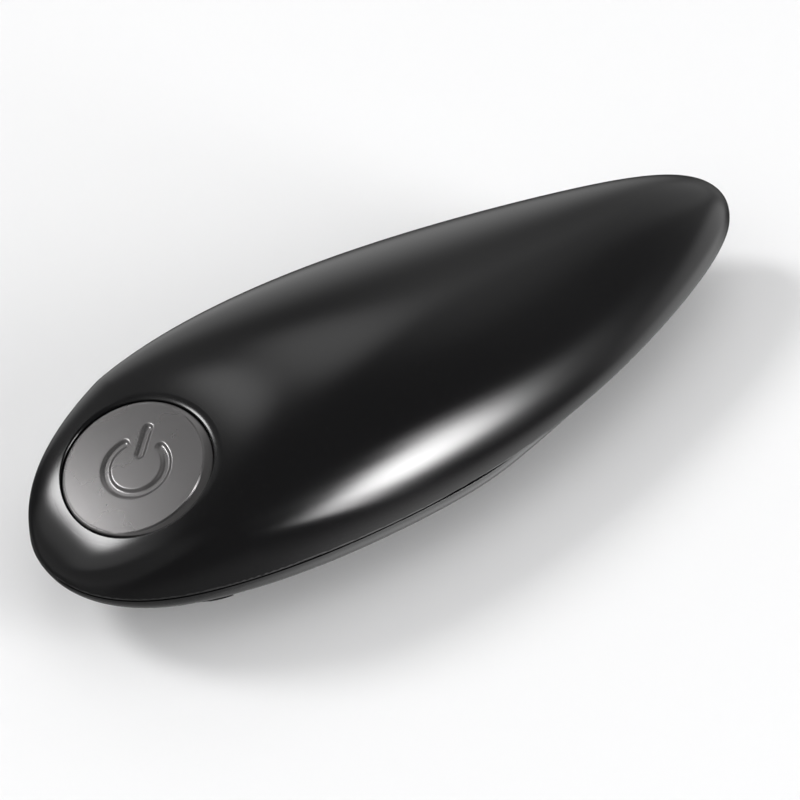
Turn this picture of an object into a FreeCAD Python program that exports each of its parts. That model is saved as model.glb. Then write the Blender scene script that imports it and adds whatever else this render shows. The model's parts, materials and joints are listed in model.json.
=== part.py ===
"""Hands-free battery can opener: a pod-shaped housing in two shells, one large start button,
a motor and reduction gear train, an eccentric cutter on a slipping clutch, and a battery bay.

Millimetres. X runs along the body, nose (button and cutter) at -X and tail at +X. Z is up.
z = 0 is the lower edge of the cutter guard. The can's rim touches the underside at rim_z.
"""
import FreeCAD, Part
import math
import os

V = FreeCAD.Vector
UP = V(0, 0, 1)

# ---- housing form ---------------------------------------------------------
body_length = 202.0
part_z = 19.5                                # parting plane of the two shells
width_swell = (48.4, 39.5, 37.4, 33.0, 28.1)     # fullness of the half width, nose to tail
rise_swell = (24.8, 26.9, 23.1, 20.3, 27.8)      # the same for the height above the parting plane
drop_swell = (20.4, 16.6, 14.7)                  # and for the depth below it
crown_handle = (1.32, 0.614, 0.577)          # squareness of the upper section, nose, middle, tail
crown_handle_limit = 1.0
keel_handle = 0.612                          # squareness of the lower section
station_count, form_end = 15, 0.02          # loft stations, and the share left off at each tip
wall = 2.2
rim_z = 5.0                                  # flat underside, where the can's rim slides
floor = 2.0
seam_gap = 0.5                               # shadow line between the shells
lip_height = 1.5
lip_wall = 1.0
lip_clearance = 0.1
tail_tuck = 1.9                              # how far the lower form stays inside the upper one
tuck_from, tuck_to = 0.535, 0.639            # where this grows, as shares of the length

# ---- start button ---------------------------------------------------------
button_x = -75.1
button_sink = 1.2                            # of its plane below the top of the form
button_tilt = 17.8                           # degrees, nose down
button_radius = 17.8
button_gap = 0.35
button_thick = 2.4
button_skirt = 5.0
button_edge = 0.6
button_wall = 1.4
well_wall = 1.6
well_depth = 9.0
board_thick = 1.2
peg_radius, peg_fit = 0.6, 0.05
switch_side = 8.0
switch_height = 3.9
switch_floor = 0.4
plunger_radius = 1.7
plunger_length = 3.6
button_boss_radius, button_boss = 4.0, 0.6
spring_radius = 7.4
spring_wire = 0.8
spring_turns = 3
coil_steps = 12                              # of one spring turn

# ---- cutting head ---------------------------------------------------------
drive_x = -38.5
train_centres = 20.8                         # drive axis to cutter carrier axis
carrier_teeth = 32
clutch_teeth = 20
carrier_module = 2 * train_centres / (carrier_teeth + clutch_teeth)
drive_wheel_radius = 6.5
drive_wheel_teeth = 24
drive_wheel_z = 1.2
drive_wheel_height = 3.2
drive_flange_radius = 7.2
drive_flange = 0.45
drive_wheel_notch = 0.8
drive_square_radius = 2.2                    # of the spindle's end inside the wheel
drive_peen = 0.2
cutter_radius = 10.0
cutter_z = 2.4
cutter_thick = 1.2
cutter_bevel, cutter_land, cutter_edge_rise = 3.2, 1.6, 0.7
cutter_boss = 2.0                            # radial width of the wheel's boss
eccentric = 4.1
carrier_radius = 8.0
carrier_flange = 9.4
carrier_flange_z = 4.0
carrier_neck = 5.0
carrier_collar = 1.5
cutter_pin_radius = 2.5
cutter_thread_radius = 2.0
screw_cap_radius, screw_cap, screw_cap_bevel = 4.0, 1.2, 0.6
guard_radius = 16.8
guard_wall = 1.7
guard_spread = 80.0                          # degrees to each side of the nose direction
boss_drop = 8.0                              # of the carrier boss below the parting plane
boss_wall = 0.8
carrier_play, flange_play = 0.4, 0.1
thread_floor, thread_gap = 0.6, 0.2
magnet_ahead = 24.5                          # of the drive axis
magnet_radius = 8.0
magnet_z = 1.0
magnet_ring, magnet_show, magnet_edge = 1.5, 0.4, 0.5

# ---- gear train -----------------------------------------------------------
running = 0.05                               # radial clearance of every shaft in its hole
end_play = 0.05                              # axial clearance of turning pieces
push_fit = 0.02                              # of bushes and collars in their seats
plate_thick = 1.5
plate_fit = 1.2                              # chassis plate inside the cutter guard
plate_places = ((-6.0, 10.4), (-6.0, -10.4), (34.0, -14.2))          # from the drive axis
gear_post_places = ((-13.5, 18.0), (-13.5, -18.0), (36.0, 15.0), (4.5, -24.5))
cover_corners = ((26.9, -16.4), (28.5, -5.6))
pressure_angle = 20.0
pinion_teeth = 10
addendum_shift = 0.4                         # of pinions, taken off their wheels
backlash = 0.14
output_module, output_teeth = 1.0, 36
second_module, second_teeth = 0.75, 34
first_module, first_teeth = 0.65, 36
crown_module, crown_teeth = 0.7, 36
level_a, level_b, level_c = (9.0, 2.6), (12.1, 3.0), (15.6, 2.4)    # lowest z and face width
cover_z, cover_thick = 18.4, 1.0
cover_clearance = 0.4                        # to the shell's inner wall
second_angle = 35.0                          # of the second idler, seen from the drive axis
crown_ahead, crown_y = 17.9, -13.5           # crown gear axis, seen from the drive axis
crown_disc_z, crown_disc = 19.8, 1.0
crown_face, crown_root = 2.0, 0.2
crown_rim, crown_hub, crown_hub_height = 0.4, 1.2, 0.6
crown_axle_top = 1.2
crown_slack = 0.22                           # taken off each crown tooth's width
axle_radius = 1.25
sleeve_radius = 2.6
spindle_radius = 3.0
spindle_journal = 2.0
bush_radius, bush_flange, bush_inset = 4.5, 1.3, 0.2
washer_width = 3.4

# ---- motor ----------------------------------------------------------------
pinion_gap = 0.5                             # motor pinion to motor boss
motor_length = 25.1
motor_radius = 10.05
motor_flat = 7.55                            # half the height across the flats
motor_cap = 3.2
motor_boss_radius = 3.0
motor_boss = 1.5
motor_shaft_radius = 1.0
motor_pinion_face = 3.2
shaft_overhang = 0.4
terminal_length, terminal_width, terminal_thick = 1.6, 2.4, 0.5
terminal_y = 5.0                             # to each side of the motor's axis
saddle_thick, saddle_margin = 2.0, 1.5
saddle_front, saddle_rear = 7.9, 4.7         # from the ends of the motor

# ---- battery bay ----------------------------------------------------------
joint_gap = 0.3                              # between lower shell and battery cover
joint_before_cells = 1.0
bay_gap = 0.1                                # motor terminals to battery tray
cell_radius = 7.25
cell_length = 50.5
cell_nub_radius, cell_nub = 2.75, 1.2
cell_pitch = 15.2
cell_z = 21.5
contact_thick = 0.4
contact_half = 4.0
spring_room = 3.1
cell_spring_radius, cell_spring_wire, cell_spring_turns = 3.2, 0.7, 2
cell_clearance = 0.2
tray_wall = 1.2
tray_floor_z = 15.5
tray_fit = 0.3                               # to the housing's inner wall
tray_open = 0.55                             # height of the gap between the cells, of their radius
rail_start, rail_length = 4.0, 34.0          # from the front contacts
rail_z, rail_thick, rail_reach, rail_root = 17.0, 1.2, 1.2, 0.3
hook_clearance = 0.3
hook_thick = 0.7
hook_wall = 1.2
hook_short = 2.0                             # of the rails at each end
tongue_half, tongue_reach, tongue_thick = 6.0, 4.0, 1.2
tongue_gap = 0.1
grip_count, grip_pitch, grip_width, grip_depth = 5, 2.6, 1.2, 0.6
grip_start, grip_half = 5.0, 7.0
skid_x0, skid_x1 = 58.0, 70.0                # flat length of the runners under the tail
skid_y, skid_wall = 8.5, 2.6
skid_slope, skid_round, skid_top = 0.6, 3.0, 6.0

# ---- screws ---------------------------------------------------------------
post_radius = 2.8
screw_radius = 1.2
screw_head, screw_head_height = 2.3, 1.5
screw_fit = 0.05
head_fit = 0.3
pilot_depth = 8.0
pilot_floor = 0.6
housing_places = ((-1.5, 28.5), (48.5, 29.5))                       # from the drive axis
housing_seat = 13.0
housing_screw, gearbox_screw, chassis_screw, tray_screw = 12.0, 6.0, 2.6, 7.0
housing_post_thick, housing_socket_thick = 0.6, 0.4      # added to a post's radius
pad_margin = 0.8                             # of a sheet round its screws
cover_margin, plate_margin = 3.6, 3.2
tab_rise, tab_thick = 0.3, 1.3               # fixing tabs of the battery tray
tab_half, tab_end, tab_out = 4.0, 3.0, 5.75
lead_radius = 0.6
lead_z = 27.0                                # height of the leads over the gear train
lead_places = (7.0, 9.0)
lead_start, lead_drop, lead_run, lead_dip = 13.0, 3.0, 9.0, 1.0
lead_rise, lead_turn, lead_bend = 12.4, 6.0, 0.45
lead_end_gap, lead_end_rise = 1.8, 5.0


# ---- basic solids ---------------------------------------------------------
def box(x0, x1, y0, y1, z0, z1):
    return Part.makeBox(x1 - x0, y1 - y0, z1 - z0, V(x0, y0, z0))


def rod(x, y, z0, z1, radius):
    return Part.makeCylinder(radius, z1 - z0, V(x, y, z0))


def rod_x(x0, x1, y, z, radius):
    return Part.makeCylinder(radius, x1 - x0, V(x0, y, z), V(1, 0, 0))


def ring(x, y, z0, z1, outer, inner):
    return rod(x, y, z0, z1, outer).cut(rod(x, y, z0, z1, inner))


def joined(shapes):
    first, *others = shapes
    return first.multiFuse(others).removeSplitter() if others else first


def group(solids):
    return Part.makeCompound(solids)


def turned(x, y, profile):
    """Solid of revolution about a vertical axis, from (radius, z) points."""
    points = [V(r, 0, z) for r, z in profile]
    face = Part.Face(Part.makePolygon(points + points[:1]))
    solid = face.revolve(V(0, 0, 0), UP, 360)
    solid.translate(V(x, y, 0))
    return solid


def screw(x, y, seat, length, drop=-1):
    """Pan-head screw whose head seats at z = seat; drop = -1 has the head below."""
    head = rod(x, y, min(seat, seat + drop * screw_head_height),
               max(seat, seat + drop * screw_head_height), screw_head)
    end = seat - drop * length
    return joined([head, rod(x, y, min(seat, end), max(seat, end), screw_radius)])


# ---- housing form ---------------------------------------------------------
def through(values, u):
    """Value at u of the polynomial through evenly spaced values over 0..1."""
    last = len(values) - 1
    total = 0.0
    for i, value in enumerate(values):
        term = value
        for j in range(last + 1):
            if j != i:
                term *= (u - j / last) / (i / last - j / last)
        total += term
    return total


def swell(values, u):
    return 2 * math.sqrt(u * (1 - u)) * through(values, u)


def ease(value, low, high):
    share = min(1.0, max(0.0, (value - low) / (high - low)))
    return share * share * (3 - 2 * share)


half_width = max(swell(width_swell, i / 200) for i in range(1, 200))
rise = max(swell(rise_swell, i / 200) for i in range(1, 200))
drop = max(swell(drop_swell, i / 200) for i in range(1, 200))


def section(u, inset, tuck):
    """Closed section of the form at u, drawn in by inset on every side and by tuck across the tail."""
    x = (u - 0.5) * (body_length - 2 * inset)
    w = swell(width_swell, u) * (1 - inset / half_width) - tuck * ease(u, tuck_from, tuck_to)
    up = swell(rise_swell, u) * (1 - inset / rise)
    down = swell(drop_swell, u) * (1 - inset / drop)
    crown = min(through(crown_handle, u), crown_handle_limit)

    def quarter(side, h, k, reverse):
        poles = [V(x, side * w, part_z), V(x, side * w, part_z + k * h),
                 V(x, side * w * k, part_z + h), V(x, 0, part_z + h)]
        curve = Part.BezierCurve()
        curve.setPoles(poles[::-1] if reverse else poles)
        return curve.toShape()

    return Part.Wire([quarter(1, up, crown, False), quarter(-1, up, crown, True),
                      quarter(-1, -down, keel_handle, False), quarter(1, -down, keel_handle, True)])


def form(inset, tuck=0.0):
    stations = [form_end + (1 - 2 * form_end) * i / (station_count - 1) for i in range(station_count)]
    wires = [section((1 - math.cos(math.pi * s)) / 2, inset, tuck) for s in stations]
    return Part.makeLoft(wires, True, False)


far = body_length
upper_form, upper_inner = form(0.0), form(wall)
lower_form, lower_inner = form(0.0, tail_tuck), form(wall, tail_tuck)
rabbet_form, lip_form = form(wall - lip_wall), form(wall - lip_wall + lip_clearance)


def above(z, x0=-far, x1=far):
    return box(x0, x1, -far, far, z, far)


def below(z, x0=-far, x1=far):
    return box(x0, x1, -far, far, -far, z)


# ---- shared places --------------------------------------------------------
def meet(ax, ay, ra, bx, by, rb):
    """Point at ra from a and rb from b, on the +X side."""
    d = math.hypot(bx - ax, by - ay)
    along = (ra * ra - rb * rb + d * d) / (2 * d)
    aside = math.sqrt(ra * ra - along * along)
    ux, uy = (bx - ax) / d, (by - ay) / d
    return ax + along * ux + aside * uy, ay + along * uy - aside * ux


carrier_x = drive_x - train_centres
cutter_x = carrier_x - eccentric
magnet_x = drive_x + magnet_ahead
plate_z = rim_z + floor
plate_top = plate_z + plate_thick
cover_top = cover_z + cover_thick
crown_x = drive_x + crown_ahead
crown_radius = crown_module * crown_teeth / 2
crown_pitch_z = crown_disc_z + crown_disc + crown_module * (1.25 + addendum_shift)
second_centres = second_module * (pinion_teeth + second_teeth) / 2
first_centres = first_module * (pinion_teeth + first_teeth) / 2
output_centres = output_module * (pinion_teeth + output_teeth) / 2
second_x = drive_x + output_centres * math.cos(math.radians(second_angle))
second_y = output_centres * math.sin(math.radians(second_angle))
first_x, first_y = meet(crown_x, crown_y, first_centres, second_x, second_y, second_centres)
idler_axes = [(first_x, first_y), (second_x, second_y)]
train_axes = idler_axes + [(crown_x, crown_y)]

pinion_x0 = crown_x + crown_radius - motor_pinion_face / 2
motor_front = pinion_x0 + motor_pinion_face + pinion_gap + motor_boss
motor_end = motor_front + motor_length
motor_split = motor_end - motor_cap
motor_y = crown_y
motor_z = crown_pitch_z + crown_module * pinion_teeth / 2

bay_x = motor_end + terminal_length + bay_gap + tray_wall
contact_x = bay_x + contact_thick            # inner face of the front contacts
bay_end = contact_x + cell_length + spring_room
joint_x = contact_x - joint_before_cells     # lower shell ends, battery cover begins
rail_x0 = contact_x + rail_start
rail_x1 = rail_x0 + rail_length
tray_half = cell_pitch / 2 + cell_radius + cell_clearance + tray_wall
tray_tab_z = part_z + tab_rise

gear_posts = [(drive_x + dx, y) for dx, y in gear_post_places]
plate_screw_places = [(drive_x + dx, y) for dx, y in plate_places]
housing_posts = [(drive_x + dx, side * y) for dx, y in housing_places for side in (1, -1)]
tray_posts = [(rail_x0 + tab_half / 2, side * (tray_half + tab_out)) for side in (1, -1)]

button_z = part_z + swell(rise_swell, button_x / body_length + 0.5) - button_sink
button_place = FreeCAD.Placement(V(button_x, 0, button_z), FreeCAD.Rotation(V(0, 1, 0), -button_tilt))
well_radius = button_radius + button_gap
board_z = -well_depth                        # heights from here on are from the button's plane
switch_top = board_z + switch_height
plunger_top = -button_thick - button_boss
board_pegs = [(0, side * (well_radius + well_wall / 2)) for side in (1, -1)]


def at_button(shape):
    placed = shape.copy()
    placed.Placement = button_place.multiply(placed.Placement)
    return placed


# ---- shells ---------------------------------------------------------------
def screw_holes(places, z0, z1):
    return [rod(x, y, z0, z1, screw_radius + screw_fit) for x, y in places]


def upper_shell():
    shell = upper_form.common(above(part_z)).cut(upper_inner.common(above(part_z - 1)))
    posts = [rod(x, y, part_z, far, post_radius + housing_socket_thick) for x, y in housing_posts]
    posts += [rod(x, y, tray_tab_z + tab_thick, far, post_radius) for x, y in tray_posts]
    well = at_button(rod(0, 0, board_z, 0, well_radius + well_wall)).common(above(part_z + 1))
    pegs = [at_button(rod(x, y, board_z - board_thick, board_z + 1, peg_radius)) for x, y in board_pegs]
    shell = joined([shell, well] + pegs + [post.common(upper_form) for post in posts])
    shell = shell.cut(at_button(rod(0, 0, board_z - 1, far, well_radius)))
    rabbet = rabbet_form.common(box(-far, joint_x, -far, far, part_z - 1,
                                    part_z + lip_height + lip_clearance))
    sockets = [rod(x, y, part_z, part_z + 2 * lip_height, post_radius + housing_socket_thick)
               for x, y in housing_posts]
    holes = screw_holes(housing_posts, part_z - 1, part_z + pilot_depth)
    holes += screw_holes(tray_posts, tray_tab_z, tray_tab_z + pilot_depth)
    return shell.cut(Part.makeCompound([rabbet.cut(Part.makeCompound(sockets))] + holes))


def crescent(z0, z1):
    """Cutter guard: a wall round the nose side of the cutter carrier."""
    wallring = ring(carrier_x, 0, z0, z1, guard_radius + guard_wall, guard_radius)
    wedge = Part.makeCylinder(far / 4, z1 - z0, V(carrier_x, 0, z0), UP, 2 * guard_spread)
    wedge.rotate(V(carrier_x, 0, 0), UP, 180 - guard_spread)
    return wallring.common(wedge)


def lower_shell():
    top = part_z - seam_gap
    x1 = joint_x - joint_gap
    hull = lower_form.common(box(-far, x1, -far, far, rim_z, top))
    boss_z = part_z - boss_drop
    boss = rod(carrier_x, 0, rim_z, boss_z, guard_radius + guard_wall)
    pocket = rod(carrier_x, 0, plate_z, part_z, guard_radius - boss_wall)
    lip = lip_form.common(box(-far, x1, -far, far, top - lip_height, part_z + lip_height))
    magnet_seat = rod(magnet_x, 0, magnet_z + magnet_show, plate_z, magnet_radius + magnet_ring)
    shell = joined([hull, boss, lip, crescent(0, boss_z), magnet_seat])
    shell = shell.cut(lower_inner.common(above(plate_z))).cut(pocket)
    posts = [rod(x, y, rim_z, cover_z, post_radius) for x, y in gear_posts]
    posts += [rod(x, y, rim_z, part_z, post_radius + housing_post_thick) for x, y in housing_posts]
    half = motor_radius + saddle_margin
    saddles = [box(x, x + saddle_thick, motor_y - half, motor_y + half, rim_z, motor_z)
               for x in (motor_front + saddle_front, motor_end - saddle_rear)]
    saddles = [saddle.cut(motor_blank(running)) for saddle in saddles]
    shell = joined([shell] + [piece.common(lower_form) for piece in posts + saddles])
    holes = [rod(carrier_x, 0, -1, part_z, carrier_radius + carrier_play),
             rod(drive_x, 0, -1, part_z, bush_radius + bush_inset),
             rod(magnet_x, 0, -1, plate_z + 1, magnet_radius + running)]
    holes += screw_holes(gear_posts, cover_z - pilot_depth, cover_z + 1)
    holes += screw_holes(plate_screw_places, rim_z + pilot_floor, part_z)
    holes += screw_holes(housing_posts, -1, far)
    holes += [rod(x, y, -1, housing_seat, screw_head + head_fit) for x, y in housing_posts]
    return shell.cut(Part.makeCompound(holes))


def skid(y):
    """Runner under the tail that stands the opener level on a worktop."""
    high = part_z - skid_top
    points = [V(skid_x0, y, 0), V(skid_x1, y, 0), V(skid_x1 + high * skid_slope, y, high),
              V(skid_x0 - high * skid_slope, y, high)]
    blade = Part.Face(Part.makePolygon(points + points[:1])).extrude(V(0, skid_wall, 0))
    blade.translate(V(0, -skid_wall / 2, 0))
    corners = [e for e in blade.Edges if e.BoundBox.YLength > skid_wall / 2 and e.BoundBox.ZMax < 0.01]
    return blade.makeFillet(skid_round, corners)


def battery_cover():
    top = part_z - joint_gap
    hull = lower_form.common(box(joint_x, far, -far, far, rim_z, top))
    shell = hull.cut(lower_inner.common(above(plate_z, x0=joint_x - 1)))
    rail_y = tray_half + rail_reach + hook_clearance
    hook_z = rail_z + rail_thick + hook_clearance
    x0, x1 = rail_x0 + hook_short, rail_x1 - hook_short
    inner = []
    for side in (1, -1):
        ya, yb = sorted((side * rail_y, side * (rail_y + hook_wall)))
        inner.append(box(x0, x1, ya, yb, rim_z, top - hook_clearance))
        ya, yb = sorted((side * (tray_half + hook_clearance), side * (rail_y + hook_wall)))
        inner.append(box(x0, x1, ya, yb, hook_z, hook_z + hook_thick))
    for x in (joint_x - tongue_reach, joint_x):
        inner.append(box(x, joint_x + tongue_reach, -tongue_half, tongue_half,
                         plate_z + (tongue_gap if x < joint_x else -floor), plate_z + tongue_gap + tongue_thick))
    skids = [skid(side * skid_y).cut(lower_inner) for side in (1, -1)]
    cover = joined([shell] + [piece.common(lower_form) for piece in inner] + skids)
    grips = [box(x, x + grip_width, -grip_half, grip_half, 0, rim_z + grip_depth)
             for x in (joint_x + grip_start + i * grip_pitch for i in range(grip_count))]
    return cover.cut(Part.makeCompound(grips))


# ---- gears ----------------------------------------------------------------
def involute(angle):
    return math.tan(angle) - angle


def gear(x, y, z, face, module, teeth, shift, turn):
    """Spur gear solid. turn is the direction of one tooth's middle, in degrees."""
    pressure = math.radians(pressure_angle)
    pitch = module * teeth / 2
    base = pitch * math.cos(pressure)
    tip = pitch + module * (1 + shift)
    root = pitch - module * (1.25 - shift)
    thick = module * (math.pi / 2 + 2 * shift * math.tan(pressure)) - backlash / 2
    half = thick / (2 * pitch) + involute(pressure)

    def polar(r, a):
        return V(x + r * math.cos(a), y + r * math.sin(a), z)

    def lean(r):
        return half - involute(math.acos(min(1.0, base / r)))

    start = max(base, root)
    middle = (start + tip) / 2
    edges = []
    for i in range(teeth):
        a = math.radians(turn) + 2 * math.pi * i / teeth
        after = a + 2 * math.pi / teeth
        flank = [polar(start, a - lean(start)), polar(middle, a - lean(middle)), polar(tip, a - lean(tip))]
        back = [polar(tip, a + lean(tip)), polar(middle, a + lean(middle)), polar(start, a + lean(start))]
        foot = back[2]
        if root < base:
            edges.append(Part.makeLine(polar(root, a - lean(start)), flank[0]))
        edges += [Part.Arc(*flank).toShape(), Part.makeLine(flank[2], back[0]), Part.Arc(*back).toShape()]
        if root < base:
            foot = polar(root, a + lean(start))
            edges.append(Part.makeLine(back[2], foot))
        edges.append(Part.makeLine(foot, polar(min(root, start), after - lean(start))))
    return Part.Face(Part.Wire(edges)).extrude(V(0, 0, face))


def direction(ax, ay, bx, by):
    return math.degrees(math.atan2(by - ay, bx - ax))


def pinion_at(x, y, z, face, module, towards):
    return gear(x, y, z, face, module, pinion_teeth, addendum_shift, direction(x, y, *towards))


def wheel_at(x, y, z, face, module, teeth, towards):
    turn = direction(x, y, *towards) + 180 / teeth
    return gear(x, y, z, face, module, teeth, -addendum_shift, turn)


def bored(solid, x, y, radius):
    return solid.cut(rod(x, y, 0, far, radius))


def output_gear():
    wheel = wheel_at(drive_x, 0, *level_b, output_module, output_teeth, (second_x, second_y))
    return bored(wheel, drive_x, 0, spindle_radius)


def idler_gear_2():
    wheel = wheel_at(second_x, second_y, *level_c, second_module, second_teeth, (first_x, first_y))
    pinion = pinion_at(second_x, second_y, level_b[0], level_c[0] - level_b[0], output_module, (drive_x, 0))
    foot = rod(second_x, second_y, plate_top, level_b[0], sleeve_radius)
    return bored(joined([wheel, pinion, foot]), second_x, second_y, axle_radius + running)


def idler_gear_1():
    wheel = wheel_at(first_x, first_y, *level_a, first_module, first_teeth, (crown_x, crown_y))
    pinion = pinion_at(first_x, first_y, *level_c, second_module, (second_x, second_y))
    sleeve = rod(first_x, first_y, plate_top, level_c[0], sleeve_radius)
    return bored(joined([wheel, pinion, sleeve]), first_x, first_y, axle_radius + running)


def crown_tooth():
    """One radial tooth of the face gear, pointing along +X from the crown's axis."""
    tan = math.tan(math.radians(pressure_angle))
    low = crown_disc_z + crown_disc - crown_root
    high = crown_pitch_z + crown_module * (1 - addendum_shift)
    wires = []
    for r in (crown_radius - crown_face / 2, crown_radius + crown_face / 2):
        pitch_half = crown_module * (math.pi / 4 - addendum_shift * tan) - crown_slack / 2
        pitch_half *= r / crown_radius
        wide, narrow = (pitch_half + (crown_pitch_z - z) * tan for z in (low, high))
        points = [V(r, wide, low), V(r, narrow, high), V(r, -narrow, high), V(r, -wide, low)]
        wires.append(Part.makePolygon(points + points[:1]))
    return Part.makeLoft(wires, True, True)


def crown_gear():
    disc_top = crown_disc_z + crown_disc
    disc = rod(0, 0, crown_disc_z, disc_top, crown_radius + crown_face / 2 + crown_rim)
    hub = rod(0, 0, crown_disc_z, disc_top + crown_hub_height, sleeve_radius + crown_hub)
    teeth = []
    for i in range(crown_teeth):
        tooth = crown_tooth()
        tooth.rotate(V(0, 0, 0), UP, (i + 0.5) * 360 / crown_teeth)
        teeth.append(tooth)
    top = joined([disc, hub] + teeth)
    top.translate(V(crown_x, crown_y, 0))
    pinion = pinion_at(crown_x, crown_y, *level_a, first_module, (first_x, first_y))
    sleeve = rod(crown_x, crown_y, plate_top, crown_disc_z, sleeve_radius)
    return bored(joined([top, sleeve, pinion]), crown_x, crown_y, axle_radius + running)


def clutch_pinion():
    solid = gear(drive_x, 0, *level_a, carrier_module, clutch_teeth, 0, 180)
    return bored(solid, drive_x, 0, spindle_radius + running)


def carrier_gear():
    solid = gear(carrier_x, 0, *level_a, carrier_module, carrier_teeth, 0, 180 / carrier_teeth)
    collar = rod(carrier_x, 0, plate_top + end_play, level_a[0], carrier_radius + carrier_collar)
    return bored(joined([solid, collar]), carrier_x, 0, carrier_neck + push_fit)


def gear_axles():
    axles = [rod(x, y, plate_z, cover_top, axle_radius) for x, y in idler_axes]
    crown_axle = rod(crown_x, crown_y, plate_z, crown_disc_z + crown_disc + crown_axle_top, axle_radius)
    return group([crown_axle] + axles)


# ---- plates ---------------------------------------------------------------
def sheet_round(places, margin, z, thick):
    """Sheet whose outline runs at margin round the outermost places."""
    cx, cy = (sum(place[i] for place in places) / len(places) for i in (0, 1))
    corners = [V(x, y, z) for x, y in sorted(places, key=lambda place: direction(cx, cy, *place))]
    outline = Part.Face(Part.makePolygon(corners + corners[:1])).makeOffset2D(margin)
    return outline.extrude(V(0, 0, thick))


def chassis_plate():
    bearing = rod(carrier_x, 0, plate_z, plate_top, guard_radius - plate_fit)
    sheet = sheet_round(plate_screw_places + [(second_x, second_y)], plate_margin, plate_z, plate_thick)
    holes = [rod(carrier_x, 0, 0, far, carrier_radius + running),
             rod(drive_x, 0, 0, far, bush_radius + push_fit)]
    holes += [rod(x, y, 0, far, axle_radius) for x, y in train_axes]
    holes += screw_holes(plate_screw_places, 0, far)
    return joined([bearing, sheet]).cut(Part.makeCompound(holes))


def gearbox_cover():
    corners = [(drive_x + dx, y) for dx, y in cover_corners]
    sheet = sheet_round(gear_posts + corners, cover_margin, cover_z, cover_thick)
    sheet = sheet.common(form(wall + cover_clearance, tail_tuck))
    pads = [rod(x, y, cover_z, cover_top, post_radius + pad_margin) for x, y in gear_posts]
    holes = screw_holes(gear_posts, 0, far) + [rod(x, y, 0, far, axle_radius) for x, y in idler_axes]
    holes += [rod(crown_x, crown_y, 0, far, sleeve_radius + running),
              rod(drive_x, 0, 0, far, spindle_journal + running)]
    holes += [rod(x, y, 0, far, post_radius + housing_post_thick + cover_clearance) for x, y in housing_posts]
    return joined([sheet] + pads).cut(Part.makeCompound(holes))


# ---- drive and cutter -----------------------------------------------------
def drive_bush():
    inner, outer = spindle_radius + running, bush_radius + bush_flange
    low, high = rim_z + bush_inset, level_a[0] - end_play
    return turned(drive_x, 0, [(inner, low), (bush_radius, low), (bush_radius, plate_top),
                               (outer, plate_top), (outer, high), (inner, high)])


def drive_spindle():
    end = drive_wheel_z - drive_peen
    shoulder = drive_wheel_z + drive_wheel_height + drive_flange
    top = level_b[0] + level_b[1]
    return turned(drive_x, 0, [(0, end), (drive_square_radius, end), (drive_square_radius, shoulder),
                               (spindle_radius, shoulder), (spindle_radius, top), (spindle_journal, top),
                               (spindle_journal, cover_top), (0, cover_top)])


def drive_wheel():
    points = []
    for i in range(2 * drive_wheel_teeth):
        radius = drive_wheel_radius - drive_wheel_notch * (i % 2)
        a = math.pi * i / drive_wheel_teeth
        points.append(V(drive_x + radius * math.cos(a), radius * math.sin(a), drive_wheel_z))
    wheel = Part.Face(Part.makePolygon(points + points[:1])).extrude(V(0, 0, drive_wheel_height))
    top = drive_wheel_z + drive_wheel_height
    flange = rod(drive_x, 0, top, top + drive_flange, drive_flange_radius)
    return bored(joined([wheel, flange]), drive_x, 0, drive_square_radius)


def clutch_washer():
    low, high = level_a[0] + level_a[1] + end_play, level_b[0] - end_play
    return ring(drive_x, 0, low, high, spindle_radius + washer_width, spindle_radius + running)


def cutter_carrier():
    neck_z, top, under = plate_top + end_play, level_a[0] + level_a[1], rim_z - flange_play
    body = turned(carrier_x, 0, [(0, carrier_flange_z), (carrier_flange, carrier_flange_z),
                                 (carrier_flange, under), (carrier_radius, under), (carrier_radius, neck_z),
                                 (carrier_neck, neck_z), (carrier_neck, top), (0, top)])
    return body.cut(rod(cutter_x, 0, 0, neck_z - thread_floor, cutter_thread_radius))


def cutter_wheel():
    inner, boss = cutter_pin_radius + running, cutter_pin_radius + cutter_boss
    top, end = cutter_z + cutter_thick, carrier_flange_z - end_play
    return turned(cutter_x, 0, [(inner, cutter_z), (cutter_radius - cutter_bevel, cutter_z),
                                (cutter_radius, cutter_z + cutter_edge_rise),
                                (cutter_radius - cutter_land, top), (boss, top), (boss, end), (inner, end)])


def cutter_screw():
    under = cutter_z - end_play
    head, thread = under - screw_cap, cutter_thread_radius - end_play / 2
    end = plate_top - thread_floor - thread_gap
    return turned(cutter_x, 0, [(0, head), (screw_cap_radius - screw_cap_bevel, head),
                                (screw_cap_radius, head + screw_cap_bevel), (screw_cap_radius, under),
                                (cutter_pin_radius, under), (cutter_pin_radius, carrier_flange_z),
                                (thread, carrier_flange_z), (thread, end), (0, end)])


def magnet():
    return turned(magnet_x, 0, [(0, magnet_z), (magnet_radius - magnet_edge, magnet_z),
                                (magnet_radius, magnet_z + magnet_edge), (magnet_radius, plate_z),
                                (0, plate_z)])


# ---- motor ----------------------------------------------------------------
def motor_blank(grow):
    body = rod_x(motor_front, motor_end, motor_y, motor_z, motor_radius + grow)
    flat = motor_flat + grow
    return body.common(box(motor_front - 1, motor_end + 1, -far, far, motor_z - flat, motor_z + flat))


def motor_can():
    body = motor_blank(0).common(box(-far, motor_split, -far, far, 0, far))
    boss = rod_x(motor_front - motor_boss, motor_front, motor_y, motor_z, motor_boss_radius)
    bore = rod_x(motor_front - motor_boss - 1, motor_split + 1, motor_y, motor_z,
                 motor_shaft_radius + running)
    return joined([body, boss]).cut(bore)


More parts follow.
